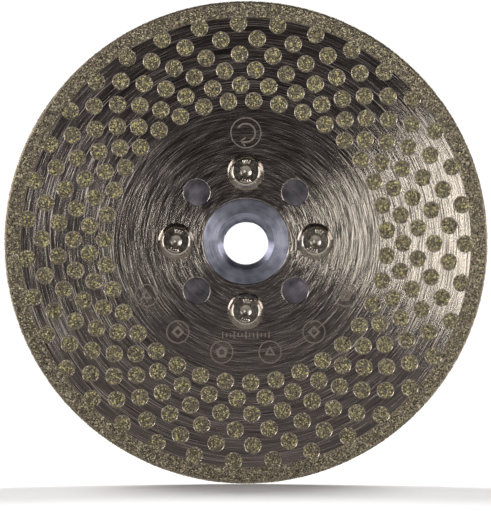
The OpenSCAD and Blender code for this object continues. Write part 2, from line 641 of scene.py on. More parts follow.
@dataclass(frozen=True)
class ZincPlatedSteel(Finish):
    """Blue-passivated zinc on a turned steel part: cool grey satin with faint turning lines.

    Attributes:
        cloud_roughness: Roughness of the dullest clouds of the passivation.
        turning_mm: Radial width of the turning lines, drawn wide enough to show.
        relief_mm: Depth that the bump gives them.
        clouds_per_mm: How many clouds of passivation lie in a millimetre.
    """

    name: str = "zinc_plated_steel"
    roughness: float = 0.32
    cloud_roughness: float = 0.42
    metallic: float = 0.93
    anisotropic: float = 0.86
    turning_mm: float = 0.25
    relief_mm: float = 0.004
    clouds_per_mm: float = 0.35
    dark: str = "7d8194"
    light: str = "b6bbcd"

    def surface(self, tree: Tree) -> dict[str, Socket]:
        """Turning lines drive the relief, clouds the roughness, and the two together the colour.

        Args:
            tree: The node tree.

        Returns:
            Sockets by the shader's input name.
        """
        polar = Polar.on(tree)
        lines = polar.streaks(tree, 0.9, self.turning_mm, 41.0)
        place = put(tree, "ShaderNodeTexCoord").outputs["Object"]
        texture = {"Vector": place, "Scale": self.clouds_per_mm / MM, "Detail": 4.0}
        clouds = put(tree, "ShaderNodeTexNoise", texture).outputs["Fac"]
        both = {0: lines, 1: 0.6, 2: clouds}
        both = put(tree, "ShaderNodeMath", both, operation="MULTIPLY_ADD").outputs[0]
        both = put(tree, "ShaderNodeMath", {0: both, 1: 1 / 1.6}, operation="MULTIPLY").outputs[0]
        stops = ((0.36, self.dark), (0.64, self.light))
        band = {"Value": clouds, "From Min": 0.3, "From Max": 0.7}
        band |= {"To Min": self.roughness, "To Max": self.cloud_roughness}
        relief = {"Height": lines, "Strength": 1.0, "Distance": self.relief_mm * MM}
        return {
            "Base Color": put(tree, "ShaderNodeValToRGB", {"Fac": both}, stops).outputs["Color"],
            "Roughness": put(tree, "ShaderNodeMapRange", band).outputs[0],
            "Tangent": polar.outwards,
            "Normal": put(tree, "ShaderNodeBump", relief).outputs[0],
        }


@dataclass(frozen=True)
class NickelPlate(Finish):
    """Bright nickel on a cold-headed screw: a warm mirror with slight waviness from the tumbling barrel.

    Attributes:
        wave_mm: Width of the waves.
        relief_mm: Depth that the bump gives them.
    """

    name: str = "bright_nickel"
    roughness: float = 0.14
    wave_mm: float = 0.6
    relief_mm: float = 0.006
    dark: str = "b9b3a8"
    light: str = "d2cdc3"

    def surface(self, tree: Tree) -> dict[str, Socket]:
        """The same soft waves drive colour, roughness and relief.

        Args:
            tree: The node tree.

        Returns:
            Sockets by the shader's input name.
        """
        place = put(tree, "ShaderNodeTexCoord").outputs["Object"]
        texture = {"Vector": place, "Scale": 1 / (self.wave_mm * MM), "Detail": 3.0}
        waves = put(tree, "ShaderNodeTexNoise", texture).outputs["Fac"]
        stops = ((0.3, self.dark), (0.7, self.light))
        band = {"Value": waves, "From Min": 0.3, "From Max": 0.7}
        band |= {"To Min": self.roughness - 0.04, "To Max": self.roughness + 0.06}
        relief = {"Height": waves, "Strength": 1.0, "Distance": self.relief_mm * MM}
        return {
            "Base Color": put(tree, "ShaderNodeValToRGB", {"Fac": waves}, stops).outputs["Color"],
            "Roughness": put(tree, "ShaderNodeMapRange", band).outputs[0],
            "Normal": put(tree, "ShaderNodeBump", relief).outputs[0],
        }


@dataclass(frozen=True)
class PlatedBond(Finish):
    """Electroplated nickel that holds the grains: satin, nodular and warm grey.

    Attributes:
        nodule_mm: Distance between nodules.
        relief_mm: Height that the bump gives them.
    """

    name: str = "electroplated_nickel_bond"
    roughness: float = 0.34
    metallic: float = 0.85
    nodule_mm: float = 0.22
    relief_mm: float = 0.03
    dark: str = "5a5346"
    light: str = "b8ad9a"

    def surface(self, tree: Tree) -> dict[str, Socket]:
        """Rounded nodules, with painted shade: the colour darkens in the valleys between them.

        Args:
            tree: The node tree.

        Returns:
            Sockets by the shader's input name.
        """
        place = put(tree, "ShaderNodeTexCoord").outputs["Object"]
        cells = {"Vector": place, "Scale": 1 / (self.nodule_mm * MM)}
        away = put(tree, "ShaderNodeTexVoronoi", cells).outputs["Distance"]
        # Light on the nodules and dark in the valleys: painted shade.
        stops = ((0.15, self.light), (0.8, self.dark))
        relief = {"Height": away, "Strength": 1.0, "Distance": self.relief_mm * MM}
        return {
            "Base Color": put(tree, "ShaderNodeValToRGB", {"Fac": away}, stops).outputs["Color"],
            "Normal": put(tree, "ShaderNodeBump", relief, invert=True).outputs[0],
        }


@dataclass(frozen=True)
class Clouded(Finish):
    """A finish whose tone alone changes, in small clouds.

    Attributes:
        clouds_per_mm: How many clouds lie in a millimetre.
        detail: Octaves of finer noise.
    """

    clouds_per_mm: float = 2.2
    detail: float = 3.0
    dark: str = "8c8474"
    light: str = "e6dece"

    def surface(self, tree: Tree) -> dict[str, Socket]:
        """Noise drives the colour.

        Args:
            tree: The node tree.

        Returns:
            Sockets by the shader's input name.
        """
        place = put(tree, "ShaderNodeTexCoord").outputs["Object"]
        texture = {"Vector": place, "Scale": self.clouds_per_mm / MM, "Detail": self.detail}
        clouds = put(tree, "ShaderNodeTexNoise", texture).outputs["Fac"]
        stops = ((0.35, self.dark), (0.6, self.light))
        return {"Base Color": put(tree, "ShaderNodeValToRGB", {"Fac": clouds}, stops).outputs["Color"]}


@dataclass(frozen=True)
class SmoothNickel(Clouded):
    """Plating without grains, at the lip of each pad: smooth enough to show as a thin pale outline."""

    name: str = "smooth_plated_nickel"
    roughness: float = 0.24
    metallic: float = 0.85


@dataclass(frozen=True)
class LaserMark(Clouded):
    """Steel roughened by a marking laser, broken up by its pulses: a pale matt line that spreads light."""

    name: str = "laser_marked_steel"
    roughness: float = 0.62
    metallic: float = 0.5
    clouds_per_mm: float = 4.0
    detail: float = 2.0
    dark: str = "6d665e"
    light: str = "8f877d"


@dataclass(frozen=True)
class DiamondGrain(Finish):
    """Synthetic diamond grains: greenish yellow facets that flash, greyer where nickel has grown over them.

    They are opaque here, because at this size a grain in its nickel seat shows its colour and
    its surface glints and nothing behind it.

    Attributes:
        ior: A little under diamond's 2.4, for facets that are worn.
        plated_metal: How metallic a grain is when nickel covers it all.
        clear: Dark, middle and light tones of a bare grain; the pale light tone partly paints glints.
        plated: The same of a covered grain; its near-white light tone partly paints glints too.
    """

    name: str = "synthetic_diamond_grain"
    roughness: float = 0.14
    metallic: float = 0.0
    ior: float = 2.2
    plated_metal: float = 0.75
    clear: tuple[str, str, str] = ("15130a", "625f22", "f8f29a")
    plated: tuple[str, str, str] = ("2c281f", "857b6a", "fff8ea")

    def surface(self, tree: Tree) -> dict[str, Socket]:
        """Each grain has its own tone and its own cover of nickel, from the piece's attributes.

        Args:
            tree: The node tree.

        Returns:
            Sockets by the shader's input name.
        """
        tone = put(tree, "ShaderNodeAttribute", attribute_name="tone").outputs["Fac"]
        cover = put(tree, "ShaderNodeAttribute", attribute_name="cover").outputs["Fac"]
        bare, grown = (
            put(tree, "ShaderNodeValToRGB", {"Fac": tone}, tuple(zip((0.05, 0.55, 1.0), tones))).outputs[0]
            for tones in (self.clear, self.plated)
        )
        mixed = put(tree, "ShaderNodeMix", {"Factor": cover, 6: bare, 7: grown}, data_type="RGBA")
        metal = put(tree, "ShaderNodeMath", {0: cover, 1: self.plated_metal}, operation="MULTIPLY")
        return {"Base Color": mixed.outputs[2], "Metallic": metal.outputs[0]}


# ---------------------------------------------------------------- the wheel's sub-assemblies


@dataclass
class SteelBlank:
    """The flat round plate with its centre hole and eight holes."""

    sizes: WheelSizes
    edge_break: float = 0.2
    plain_hole_r: float = 3.4
    screw_hole_r: float = 2.75
    zone_inner_r: float = 12.4
    zone_outer_r: float = 24.0

    def build(self, finish: Material) -> Piece:
        """Makes the plate: a drilled zone between a turned inner ring and a turned outer ring.

        Args:
            finish: The ground steel.

        Returns:
            The new piece.
        """
        h, b, hole = self.sizes.face_z, self.edge_break, self.sizes.centre_hole_r
        zone = DrilledZone(self.sizes.circle_r, self.zone_inner_r, self.zone_outer_r, -h, h, sectors=8)
        shell = Shell()
        for number in range(zone.sectors):
            radius = self.plain_hole_r if number % 2 else self.screw_hole_r
            shell.add_grid(zone.sector(number, radius, b))
        bend_r, bend_z = rounded(hole, b)
        corner = [hole + b + EDGE_LOOP, hole + b, *bend_r, hole]
        inner_r = [self.zone_inner_r, *corner, *corner[::-1], self.zone_inner_r]
        inner_z = [-h, -h, -h, *(bend_z - h), b - h, h - b, *(h - bend_z[::-1]), h, h, h]
        shell.add_grid(revolve(inner_r, inner_z, zone.columns, zone.turn))
        outer_r = [self.zone_outer_r, self.sizes.blank_r, self.sizes.blank_r, self.zone_outer_r]
        shell.add_grid(revolve(outer_r, [-h, -h, h, h], zone.columns, zone.turn))
        return shell.build("blank_plate", [finish], "blank_steel", replaces=("steel_blank",))


@dataclass
class MountingFlange:
    """The turned flange: boss, plate with four threaded holes, hub with spanner flats, spindle thread.

    Attributes:
        fillet: Radius of the fillet between hub and plate.
        rows_per_turn: Rows of the spindle thread's grid in one pitch.
        flank_slope: How steeply the spindle thread's flanks rise, against a triangle wave.
        flank_start: Width of the flat on its crests, in the same measure.
        mouth_cone: Half angle of the cone at each mouth, in degrees.
        screw_thread: Depth of the thread in the plate's four holes.
    """

    sizes: WheelSizes
    boss_r: float = 11.1
    boss_break: float = 0.25
    corner_break: float = 0.6
    hub_r: float = 13.5
    flats_half_w: float = 11.0
    flats_l: float = 8.0
    plate_t: float = 5.0
    fillet: float = 0.35
    screw_hole_r: float = 2.55
    screw_hole_break: float = 0.3
    thread_minor_r: float = 5.917
    thread_major_r: float = 7.0
    thread_pitch: float = 2.0
    rows_per_turn: int = 16
    flank_slope: float = 1.5
    flank_start: float = 0.28
    mouth_r: float = 7.4
    mouth_cone: float = 60.0
    screw_thread: float = 0.3

    def thread_rows(self, top: float, bottom: float, columns: int) -> Row:
        """The bore's wall from one mouth to the other.

        The wall is the larger of three radii: the minor radius, the groove, which is the
        thread's triangle wave steepened and cut off to a trapezoid, and the cone at each mouth.

        Args:
            top: Height of the front mouth.
            bottom: Height of the back mouth.
            columns: Steps round the axis.

        Returns:
            Radii, rows by columns, and heights by row.
        """
        height = np.linspace(top, bottom, int((top - bottom) / self.thread_pitch * self.rows_per_turn) + 1)
        angle = math.tau * np.arange(columns) / columns
        wave = thread_wave(height[:, None], angle, self.thread_pitch)
        wave = np.clip(wave * self.flank_slope - self.flank_start, 0.0, 1.0)
        groove = self.thread_minor_r + (self.thread_major_r - self.thread_minor_r) * wave
        depth = np.minimum(top - height, height - bottom)
        cone = self.mouth_r - depth * math.tan(math.radians(self.mouth_cone))
        return np.maximum(groove, cone[:, None]), height

    def hub_rows(self, angle: np.ndarray, hub_back: float, plate_back: float) -> Row:
        """The hub from the back mouth to the plate: each row is the smaller of the round and the flats.

        A flat's radius is its half width over the cosine of the angle from its middle.

        Args:
            angle: The columns' angles.
            hub_back: Height of the hub's free end.
            plate_back: Height of the plate's back face.

        Returns:
            Radii, rows by columns, and heights by row.
        """
        flat = self.flats_half_w / np.maximum(np.abs(np.cos(angle)), 1e-6)
        full = np.full_like(angle, self.hub_r)
        cut = np.minimum(full, flat)
        flats_end = hub_back + self.flats_l
        bend = self.fillet * (1 - math.cos(math.pi / 4))
        rows = [
            (np.full_like(angle, self.mouth_r), hub_back),
            (np.minimum(full - self.corner_break, flat - 0.05), hub_back),
            (cut, hub_back + self.corner_break),
            (cut, flats_end),
            (full, flats_end),
            (full, plate_back + self.fillet),
            (full + bend, plate_back + bend),
            (full + self.fillet, plate_back),
        ]
        return np.array([r for r, _ in rows]), np.array([z for _, z in rows])

    def boss_rows(self) -> Row:
        """The seat and the boss from the neck to the front mouth.

        Returns:
            Radii and heights by row.
        """
        face, seat = self.sizes.face_z, -self.sizes.face_z
        bend_r, bend_z = rounded(self.boss_r, -self.boss_break)
        top_r = self.boss_r - self.boss_break
        neck_r = self.hub_r + self.fillet
        radius = [neck_r, self.boss_r, self.boss_r, *bend_r[::-1], top_r, top_r - EDGE_LOOP, self.mouth_r]
        height = [seat, seat, face - self.boss_break, *(face - bend_z[::-1]), face, face, face]
        return np.array(radius), np.array(height)

    def build(self, finish: Material, painted_shade: Material) -> Piece:
        """Makes the flange as one closed skin.

        Args:
            finish: The plated finish of the turned outside.
            painted_shade: The same zinc, darker, on the plate's faces and in its four holes: painted shade
                for the recess seen through the wheel's holes.

        Returns:
            The new piece.
        """
        low, high = flat_box("mounting_flange")
        plate_r, hub_back = float(high[0] - low[0]) / 2, float(low[2])
        face, seat = self.sizes.face_z, -self.sizes.face_z
        plate_back = seat - self.plate_t
        neck_r, rim_r = self.hub_r + self.fillet, plate_r - 2 * self.corner_break
        zone = DrilledZone(self.sizes.circle_r, neck_r, rim_r, plate_back, seat, sectors=4, steps=36)
        angle = zone.turn + math.tau * np.arange(zone.columns) / zone.columns
        drilled = (self.screw_hole_r, self.screw_hole_break, self.screw_thread)
        shell = Shell()
        # The plate's sectors take finish 1, the darker zinc: painted shade for the recess behind the
        # wheel's holes.
        for number in range(zone.sectors):
            shell.add_grid(zone.sector(number, *drilled), finish=1)
        shell.add_grid(revolve(*self.boss_rows(), zone.columns, zone.turn))
        wall = revolve(*self.thread_rows(face, hub_back, zone.columns), zone.columns)
        c, s = math.cos(zone.turn), math.sin(zone.turn)
        wall[..., :2] = wall[..., :2] @ np.array([[c, s], [-s, c]])
        shell.add_grid(wall)
        shell.add_grid(revolve(*self.hub_rows(angle, hub_back, plate_back), zone.columns, zone.turn))
        edge_r = [rim_r, plate_r - self.corner_break, plate_r, plate_r, rim_r]
        edge_z = [plate_back, plate_back, plate_back + self.corner_break, seat, seat]
        shell.add_grid(revolve(edge_r, edge_z, zone.columns, zone.turn))
        return shell.build("flange_body", [finish, painted_shade], "zinc_plate", replaces=("mounting_flange",))


class Side(Enum):
    """The four screws by their place, with the degrees that each socket has stopped at."""

    RIGHT = 4
    TOP = 21
    LEFT = 9
    BOTTOM = 16


@dataclass
class FlangeScrew:
    """One button-head screw: hexagon socket, forged ticks on its flat top, rolled thread.

    Attributes:
        tick_groups: Angle of each group's first tick, in radians, and its number of ticks.
        tick_row_r: Radius of the middle of the ticks.
        tick_half_angle: Width of a tick's slope, in radians; its flat top reaches as far again.
        tick_slope: Width of the slope at a tick's two ends.
        flat_start: Radius of the first row of the flat top, just outside the socket.
    """

    side: Side
    seat_z: float
    head_r: float = 4.75
    head_h: float = 2.75
    flat_r: float = 3.3
    band_h: float = 0.4
    socket_w: float = 3.0
    socket_depth: float = 1.6
    socket_break: float = 0.09
    drill_share: float = 0.96
    screw_r: float = 2.48
    core_r: float = 2.08
    length: float = 6.0
    pitch: float = 0.8
    tip: float = 0.35
    tick_height: float = 0.16
    tick_step: float = 0.26
    tick_row_r: float = 2.55
    tick_half_angle: float = 0.06
    tick_slope: float = 0.17
    flat_start: float = 1.86
    tick_groups: tuple[tuple[float, int], ...] = ((0.9, 3), (3.9, 4))
    columns: int = 144

    @property
    def node(self) -> str:
        """Name of the screw's CAD node, which is its body's name too."""
        return f"screw_{self.side.name.lower()}"

    def hexagon(self, angle: np.ndarray) -> np.ndarray:
        """Radius of the socket's outline: half the width over the cosine of the angle from its flat."""
        third = math.pi / 3
        return self.socket_w / 2 / np.cos((angle % third) - third / 2)

    def socket_rows(self, angle: np.ndarray) -> list[Row]:
        """Rows from the drilled cone's point up the hexagon to its broken edge.

        Args:
            angle: The columns' angles.

        Returns:
            Radii and heights for each row.
        """
        one, hexagon = np.ones_like(angle), self.hexagon(angle)
        floor = self.head_h - self.socket_depth
        drill_r = self.socket_w / 2 * self.drill_share
        return [
            (0 * one, (floor - drill_r * 0.5) * one),
            (drill_r * one, floor * one),
            (hexagon, floor * one),
            (hexagon, (self.head_h - 0.14) * one),
            (hexagon + self.socket_break, self.head_h * one),
        ]

    def top_rows(self, angle: np.ndarray) -> list[Row]:
        """Rows over the flat top, with two groups of raised ticks on opposite sides.

        A tick is a smooth bump in the angle times a smooth bump in the radius.

        Args:
            angle: The columns' angles.

        Returns:
            Radii and heights for each row.
        """
        rows = []
        ticks = np.zeros_like(angle)
        for start, count in self.tick_groups:
            for number in range(count):
                away = (angle - start - self.tick_step * number + math.pi) % math.tau - math.pi
                ticks = np.maximum(ticks, np.clip(1.8 - np.abs(away) / self.tick_half_angle, 0, 1))
        for radius in np.linspace(self.flat_start, self.flat_r - 0.06, 16):
            across = np.clip(2.6 - abs(radius - self.tick_row_r) / self.tick_slope, 0, 1)
            rows.append((np.full_like(angle, radius), self.head_h + self.tick_height * across * ticks))
        return rows

    def dome_rows(self, one: np.ndarray) -> list[Row]:
        """Rows down the head's side, which is part of a ball through its flat's edge and its band.

        Args:
            one: A 1 for each column.

        Returns:
            Radii and heights for each row.
        """
        squares = self.flat_r**2 + self.head_h**2 - self.head_r**2 - self.band_h**2
        middle = squares / (2 * (self.head_h - self.band_h))
        ball = math.hypot(self.head_r, self.band_h - middle)
        slopes = np.linspace(math.asin(self.flat_r / ball), math.asin(self.head_r / ball), 14)
        rows = [(ball * math.sin(t) * one, (middle + ball * math.cos(t)) * one) for t in slopes]
        rows += [(self.head_r * one, 0.06 * one), ((self.head_r - 0.06) * one, 0 * one)]
        return rows

    def shank_rows(self, angle: np.ndarray) -> list[Row]:
        """Rows down the threaded shank to its broken tip; the groove fades in over the first millimetre.

        Args:
            angle: The columns' angles.

        Returns:
            Radii and heights for each row.
        """
        one, depth = np.ones_like(angle), self.screw_r - self.core_r
        rows = [(self.screw_r * one, 0 * one)]
        for z in np.arange(-0.1, -self.length + 0.5, -self.pitch / 10):
            wave = np.clip(thread_wave(z, angle, self.pitch) * 1.35 - 0.15, 0, 1)
            rows.append((self.screw_r - depth * min(1.0, -z) * (1 - wave), z * one))
        end = -self.length * one
        rows += [(self.core_r * one, end + self.tip), ((self.core_r - self.tip) * one, end)]
        return rows + [(0 * one, end)]

    def build(self, finish: Material, drilled: Material) -> Piece:
        """Makes the screw at its place on the wheel.

        Args:
            finish: The plated finish of the whole screw.
            drilled: The rougher finish of the cone at the socket's bottom.

        Returns:
            The new piece.
        """
        angle = math.tau * np.arange(self.columns) / self.columns
        head = self.socket_rows(angle) + self.top_rows(angle) + self.dome_rows(np.ones_like(angle))
        rows = head + self.shank_rows(angle)
        grid = revolve(np.array([r for r, _ in rows]), np.array([z for _, z in rows]), self.columns)
        turn = math.radians(self.side.value)
        c, s = math.cos(turn), math.sin(turn)
        grid[..., :2] = grid[..., :2] @ np.array([[c, s], [-s, c]])
        low, high = flat_box(self.node)
        grid += np.array([*(low + high)[:2] / 2, self.seat_z])
        shell = Shell()
        shell.add_grid(grid[:2], finish=1)
        shell.add_grid(grid[1:])
        name, finishes = f"{self.node}_body", [finish, drilled]
        return shell.build(name, finishes, "nickel_plate", self.node, (self.node,), crease=24.0)


class Face(Enum):
    """The two faces of the wheel, by the sign of their height in the drawing frame."""

    FRONT = 1
    BACK = -1


@dataclass
class GrainField:
    """Diamond grains stuck in a plated layer: one closed, faceted, randomly turned crystal each.

    Attributes:
        spacing: Distance between grains before they are shaken.
        shake: Furthest that a grain is moved off its place, each way.
        small: Half a small grain's length. Grains are drawn a little larger than 40 to 50 mesh grit.
        large: Half a large grain's length.
        core_r: Radius of the part of a pad whose grains are bare.
        border_r: Radius where nickel covers them.
        rim_cover: Nickel's cover over the rim's grains.
        edge_cover: Nickel's cover over the grains round the edge.
        wear: Spread of the cover from grain to grain.
        seat: How far a grain's middle lies under the layer's face.
        sunk: How much deeper it lies at a pad's border.
        corner_room: How far grains stay from the rim's outer corner.
        corner_r: How far round the edge the rim's corner starts to fall away.
        tones: Shape of the spread of tones, which leaves most grains dark or light; the light ones are
            partly painted glints.
    """

    sizes: WheelSizes
    spacing: float = 0.39
    shake: float = 0.13
    small: float = 0.17
    large: float = 0.28
    core_r: float = 1.75
    border_r: float = 2.15
    rim_cover: float = 0.56
    edge_cover: float = 0.8
    wear: float = 0.16
    seat: float = 0.04
    sunk: float = 0.1
    corner_room: float = 0.6
    corner_r: float = 0.45
    tones: tuple[float, float] = (0.45, 0.62)

    def lattice(self, width: float, depth: float, rng: np.random.Generator) -> np.ndarray:
        """Points of a triangular lattice over a rectangle, each shaken off its place.

        Args:
            width: Size along X, centred on 0.
            depth: Size along Y, centred on 0.
            rng: The seeded random source.

        Returns:
            Points by 2.
        """
        row_step = self.spacing * math.sqrt(3) / 2
        rows, columns = int(depth / row_step) + 1, int(width / self.spacing) + 1
        j, i = np.meshgrid(np.arange(rows), np.arange(columns), indexing="ij")
        x = (i + 0.5 * (j % 2)) * self.spacing - width / 2
        y = j * row_step - depth / 2
        flat = np.stack([x.ravel(), y.ravel()], axis=-1)
        return flat + rng.uniform(-self.shake, self.shake, flat.shape)

    def crystals(self, centres: np.ndarray, rng: np.random.Generator) -> tuple[np.ndarray, np.ndarray]:
        """One octahedron at each centre, stretched a little and turned by a random unit quaternion.

        Args:
            centres: Points by 3.
            rng: The seeded random source.

        Returns:
            Corners, six for each crystal, and triangles.
        """
        template = np.concatenate([np.eye(3), -np.eye(3)])
        ahead = np.array([[0, 1, 2], [1, 3, 2], [3, 4, 2], [4, 0, 2]])
        faces = np.concatenate([ahead, np.where(ahead == 2, 5, ahead)[:, ::-1]])
        count = len(centres)
        q = rng.normal(size=(count, 4))
        w, x, y, z = (q / np.linalg.norm(q, axis=1, keepdims=True)).T
        turn = np.array([
            [1 - 2 * (y * y + z * z), 2 * (x * y - z * w), 2 * (x * z + y * w)],
            [2 * (x * y + z * w), 1 - 2 * (x * x + z * z), 2 * (y * z - x * w)],
            [2 * (x * z - y * w), 2 * (y * z + x * w), 1 - 2 * (x * x + y * y)],
        ])
        size = rng.uniform(self.small, self.large, (count, 1)) * rng.uniform(0.8, 1.2, (count, 3))
        points = np.einsum("ijn,nkj->nki", turn, template[None] * size[:, None, :]) + centres[:, None, :]
        offset = len(template) * np.arange(count)[:, None, None]
        return points.reshape(-1, 3), (faces[None] + offset).reshape(-1, 3)

    def piece(
        self, name: str, centres: np.ndarray, cover: np.ndarray, finish: Material, rng: np.random.Generator
    ) -> Piece:
        """Makes one piece of grains.

        Args:
            name: The new piece's name.
            centres: Points by 3.
            cover: How far nickel has grown over each grain, from 0 to 1.
            finish: The grains' material.
            rng: The seeded random source.

        Returns:
            The new piece.
        """
        points, faces = self.crystals(centres, rng)
        # Each grain's tone is random and rises where nickel covers it; the lightest grains are partly
        # painted glints.
        tone = rng.beta(*self.tones, len(centres)) + np.clip(cover - 0.6, 0, 0.4)
        worn = np.clip(cover + rng.normal(0, self.wear, len(centres)), 0, 1)
        traits = np.repeat(np.column_stack([tone, worn]), 6, axis=0)
        shell = Shell()
        shell.add(points, faces, traits=traits)
        return shell.build(name, [finish], "diamond_grit", weld=False, crease=0)

    def pad_cover(self, distance: np.ndarray) -> np.ndarray:
        """Nickel cover over a pad: none in its core, rising to full at its border."""
        return np.clip((distance - self.core_r) / (self.border_r - self.core_r), 0, 1)

    def build(self, finish: Material) -> None:
        """Sets grains on every ring of pads, on the rim's faces and round its edge.

        Args:
            finish: The grains' material.
        """
        span = 2 * self.sizes.outer_r
        lobes = self.sizes.free_rings + 1
        for face in Face:
            side = face.name.lower()
            rng = np.random.default_rng(20 + face.value)
            flat = self.lattice(span, span, rng)
            height = self.sizes.rim_face_z - self.seat + rng.uniform(-0.05, 0.04, len(flat))
            centres = np.column_stack([flat, face.value * height])
            for ring in range(1, lobes):
                away = self.sizes.pad_distance(flat, ring)
                on = away < self.border_r
                sunk = centres[on] - self.sink(away[on], face)
                self.piece(f"{side}_grains_ring_{ring}", sunk, self.pad_cover(away[on]), finish, rng)
            radius = np.hypot(*flat.T)
            away = self.sizes.pad_distance(flat, lobes)
            plain = radius > self.sizes.rim_inner_r + 0.15
            on = (plain | (away < self.border_r)) & (radius < self.sizes.outer_r - self.corner_room)
            cover = np.where(plain, self.rim_cover, 1.0)
            cover = np.minimum(cover, np.maximum(self.pad_cover(away), 0.1))
            self.piece(f"{side}_grains_rim", centres[on], cover[on], finish, rng)
        self.edge(finish)

    def sink(self, away: np.ndarray, face: Face) -> np.ndarray:
        """Grains near a pad's border sit deeper in the nickel; their shift along the axis."""
        depth = self.sunk * self.pad_cover(away)
        return np.column_stack([np.zeros((len(away), 2)), face.value * depth])

    def edge(self, finish: Material) -> Piece:
        """Sets grains round the rim's edge: a flat lattice rolled up into the edge and its corners.

        Near a corner the radius falls with the square of the way into it.

        Args:
            finish: The grains' material.

        Returns:
            The new piece.
        """
        rng = np.random.default_rng(7)
        half = self.sizes.rim_face_z
        flat = self.lattice(math.tau * self.sizes.outer_r - self.spacing, 2 * half, rng)
        angle = flat[:, 0] / self.sizes.outer_r
        z = np.clip(flat[:, 1], 0.3 - half, half - 0.3)
        corner = np.maximum(0, np.abs(z) - (half - self.corner_r)) / self.corner_r
        radius = self.sizes.outer_r - 0.1 - 0.3 * corner**2
        centres = np.stack([radius * np.cos(angle), radius * np.sin(angle), z], axis=-1)
        return self.piece("edge_grains", centres, np.full(len(centres), self.edge_cover), finish, rng)


@dataclass
class PlatedLayer:
    """The diamond layer's nickel: the CAD nodes keep their shape and get the bond's finish.

    The plating ends in a smooth lip round every pad, where no grains stick.

    Attributes:
        lip_r: Radii of the lip's foot, crest and inner end, from the pad's radius.
        lip_z: Heights of the same, from the pad's top.
    """

    sizes: WheelSizes
    lip_columns: int = 20
    lip_r: tuple[float, float, float] = (0.02, -0.08, -0.26)
    lip_z: tuple[float, float, float] = (-0.2, 0.05, -0.05)

    def lips(self, face: Face, ring: int, finish: Material) -> Piece:
        """Makes the lips round one ring of pads: small closed rings with a triangular section.

        Args:
            face: Which face of the wheel.
            ring: Which ring of pads; free_rings + 1 is the ring of lobes.
            finish: The smooth nickel.

        Returns:
            The new piece.
        """
        radius = self.sizes.pad_r + np.array(self.lip_r)
        height = self.sizes.rim_face_z + np.array(self.lip_z)
        one = revolve(radius, face.value * height, self.lip_columns)
        shell = Shell()
        for centre in self.sizes.pad_centres(ring):
            shell.add_grid(one + np.array([*centre, 0.0]), ring=True)
        name = f"{face.name.lower()}_lips_ring_{ring}"
        return shell.build(name, [finish], "diamond_grit", crease=50.0)

    def build_lips(self, finish: Material) -> None:
        """Makes the lips on both faces.

        Args:
            finish: The smooth nickel.
        """
        for face in Face:
            for ring in range(1, self.sizes.free_rings + 2):
                self.lips(face, ring, finish)

    def dress(self, finish: Material) -> None:
        """Gives the rim and every ring of pads the plated finish.

        Args:
            finish: The bond's material.
        """
        names = ["diamond_rim"]
        for ring in range(1, self.sizes.free_rings + 1):
            names += [f"front_pads_ring_{ring}", f"back_pads_ring_{ring}"]
        for name in names:
            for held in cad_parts[name].material_slots:
                held.link = "OBJECT"
                held.material = finish
        LOG.info("plated finish on %d CAD nodes", len(names))


